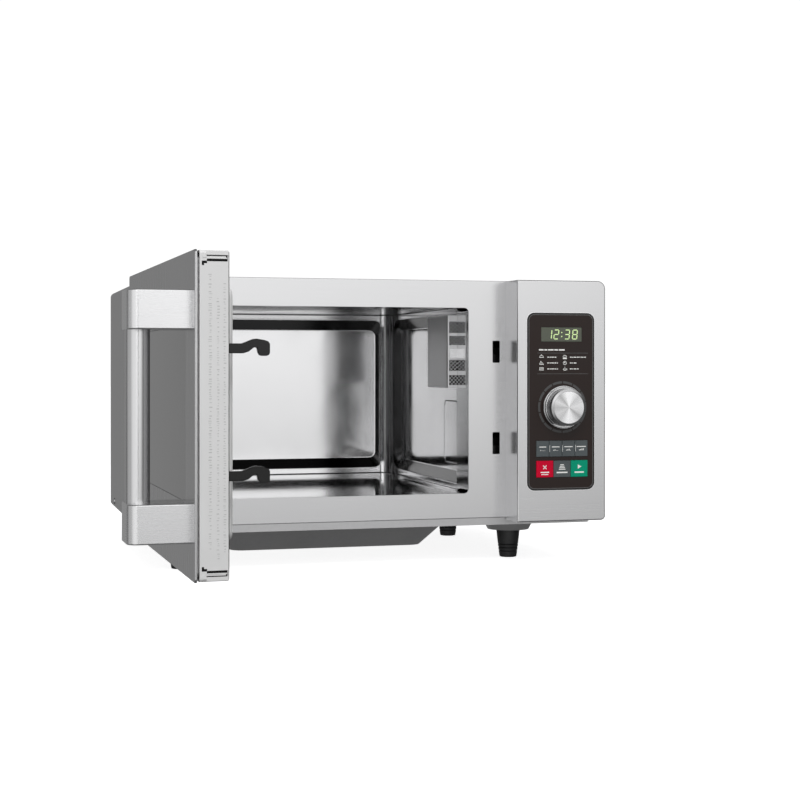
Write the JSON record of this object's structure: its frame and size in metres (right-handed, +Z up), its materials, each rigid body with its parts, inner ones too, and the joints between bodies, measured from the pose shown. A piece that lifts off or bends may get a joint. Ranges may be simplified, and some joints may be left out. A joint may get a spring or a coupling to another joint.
{
  "type": "microwave oven",
  "caption": "Flatbed stainless microwave oven with a side-hinged door, tube handle, dial and keys beside a pressed steel cavity.",
  "frame": {"origin": "on the standing surface, under the middle of the front frame's face", "axes": "+X to the right of someone facing the oven, +Y to its back, +Z up; the door is stored open by 88.7 degrees"},
  "size_m": [0.5677, 0.8026, 0.318],
  "materials": {
    "brushed_steel": "fine horizontal brushing, satin",
    "casing_steel": "satin stainless",
    "door_steel": "satin stainless",
    "handle_steel": "satin stainless",
    "base_steel": "dark grey, satin",
    "zinc_steel": "zinc plated sheet",
    "cavity_steel": "polished stainless",
    "cavity_floor": "polished sealed floor",
    "guard_steel": "satin stainless",
    "screen_steel": "black perforated sheet",
    "screw_steel": "nickel plated",
    "black_plastic": "black, fine grain",
    "white_plastic": "off-white",
    "liner_plastic": "light grey, satin",
    "panel_dark": "dark brown-black, gloss",
    "display_lens": "grey-green tinted window with lit figures",
    "key_grey": "grey, satin",
    "key_red": "red, satin",
    "key_green": "green, satin",
    "dial_aluminium": "spun face",
    "dial_chrome": "bright",
    "dark_glass": "dark tinted",
    "clear_glass": "clear",
    "lamp_glass": "clear bulb, white socket",
    "aluminium": "mill finish",
    "iron": "varnished laminations",
    "copper": "enamelled copper",
    "circuit_board": "green board with parts"
  },
  "bodies": {
    "cabinet": {"front_frame": "brushed_steel", "outer_casing": "casing_steel", "base_pan": "base_steel", "bulge_cover": "base_steel", "rear_panel": "zinc_steel", "cord_bushing": "black_plastic", "casing_screws": "screw_steel", "feet": "black_plastic", "cavity_liner": "cavity_steel", "cavity_floor": "cavity_floor", "stirrer_well": "zinc_steel", "vent_guard": "guard_steel", "waveguide_cover": "guard_steel", "cavity_lamp": "lamp_glass", "waveguide": "zinc_steel", "stirrer_motor": "zinc_steel", "magnetron": "aluminium", "transformer_core": "iron", "transformer_coils": "copper", "hv_capacitor": "aluminium", "filter_board": "circuit_board", "fan_shroud": "white_plastic", "fan_motor": "iron", "air_duct": "white_plastic", "door_hinges": "zinc_steel", "latch_board": "black_plastic", "door_switches": "black_plastic", "control_housing": "brushed_steel", "control_overlay": "panel_dark", "control_carrier": "black_plastic", "display_window": "display_lens", "control_board": "circuit_board", "dial_encoder": "zinc_steel"},
    "door": {"door_skin": "door_steel", "door_glass": "dark_glass", "door_frame": "zinc_steel", "door_liner": "liner_plastic", "choke_panel": "liner_plastic", "inner_window": "clear_glass", "door_screen": "screen_steel", "hinge_bushes": "white_plastic", "handle_bracket_upper": "handle_steel", "handle_bracket_lower": "handle_steel", "handle_tube": "handle_steel", "handle_screws": "screw_steel", "latch_spring": "screw_steel"},
    "latch": {"latch_hooks": "black_plastic"},
    "dial": {"dial_shaft": "zinc_steel", "dial_body": "dial_chrome", "dial_cap": "dial_aluminium", "dial_skirt": "dial_chrome"},
    "fan": {"fan_blade": "black_plastic"},
    "stirrer": {"stirrer_antenna": "aluminium"},
    "key_power_hold": {"key_power_hold": "key_grey"},
    "key_power_defrost": {"key_power_defrost": "key_grey"},
    "key_power_medium": {"key_power_medium": "key_grey"},
    "key_power_medium_high": {"key_power_medium_high": "key_grey"},
    "key_stop": {"key_stop": "key_red"},
    "key_memory": {"key_memory": "key_grey"},
    "key_start": {"key_start": "key_green"}
  },
  "joints": [
    {"name": "door_hinge", "type": "hinge", "parent": "cabinet", "child": "door", "pos_m": [-0.2495, -0.0183, 0.18325], "axis": [0, 0, 1], "range_deg": [-21.3, 88.7]},
    {"name": "latch_slide", "type": "slide", "parent": "door", "child": "latch", "axis": [0, 0, 1], "range_m": [0, 0.005], "stiffness_N_per_m": 300, "springref_m": -0.008, "deforming": ["latch_spring"]},
    {"name": "dial_turn", "type": "hinge", "parent": "cabinet", "child": "dial", "pos_m": [0.2036, -0.045, 0.1766], "axis": [0, -1, 0], "continuous": true},
    {"name": "fan_spin", "type": "hinge", "parent": "cabinet", "child": "fan", "pos_m": [0.183, 0.365, 0.232], "axis": [0, 1, 0], "continuous": true},
    {"name": "stirrer_spin", "type": "hinge", "parent": "cabinet", "child": "stirrer", "pos_m": [-0.0525, 0.16, 0.066], "axis": [0, 0, 1], "continuous": true},
    {"name": "key_power_hold_press", "type": "slide", "parent": "cabinet", "child": "key_power_hold", "axis": [0, 1, 0], "range_m": [0, 0.0006], "stiffness_N_per_m": 1500},
    {"name": "key_power_defrost_press", "type": "slide", "parent": "cabinet", "child": "key_power_defrost", "axis": [0, 1, 0], "range_m": [0, 0.0006], "stiffness_N_per_m": 1500},
    {"name": "key_power_medium_press", "type": "slide", "parent": "cabinet", "child": "key_power_medium", "axis": [0, 1, 0], "range_m": [0, 0.0006], "stiffness_N_per_m": 1500},
    {"name": "key_power_medium_high_press", "type": "slide", "parent": "cabinet", "child": "key_power_medium_high", "axis": [0, 1, 0], "range_m": [0, 0.0006], "stiffness_N_per_m": 1500},
    {"name": "key_stop_press", "type": "slide", "parent": "cabinet", "child": "key_stop", "axis": [0, 1, 0], "range_m": [0, 0.0006], "stiffness_N_per_m": 1500},
    {"name": "key_memory_press", "type": "slide", "parent": "cabinet", "child": "key_memory", "axis": [0, 1, 0], "range_m": [0, 0.0006], "stiffness_N_per_m": 1500},
    {"name": "key_start_press", "type": "slide", "parent": "cabinet", "child": "key_start", "axis": [0, 1, 0], "range_m": [0, 0.0006], "stiffness_N_per_m": 1500}
  ]
}
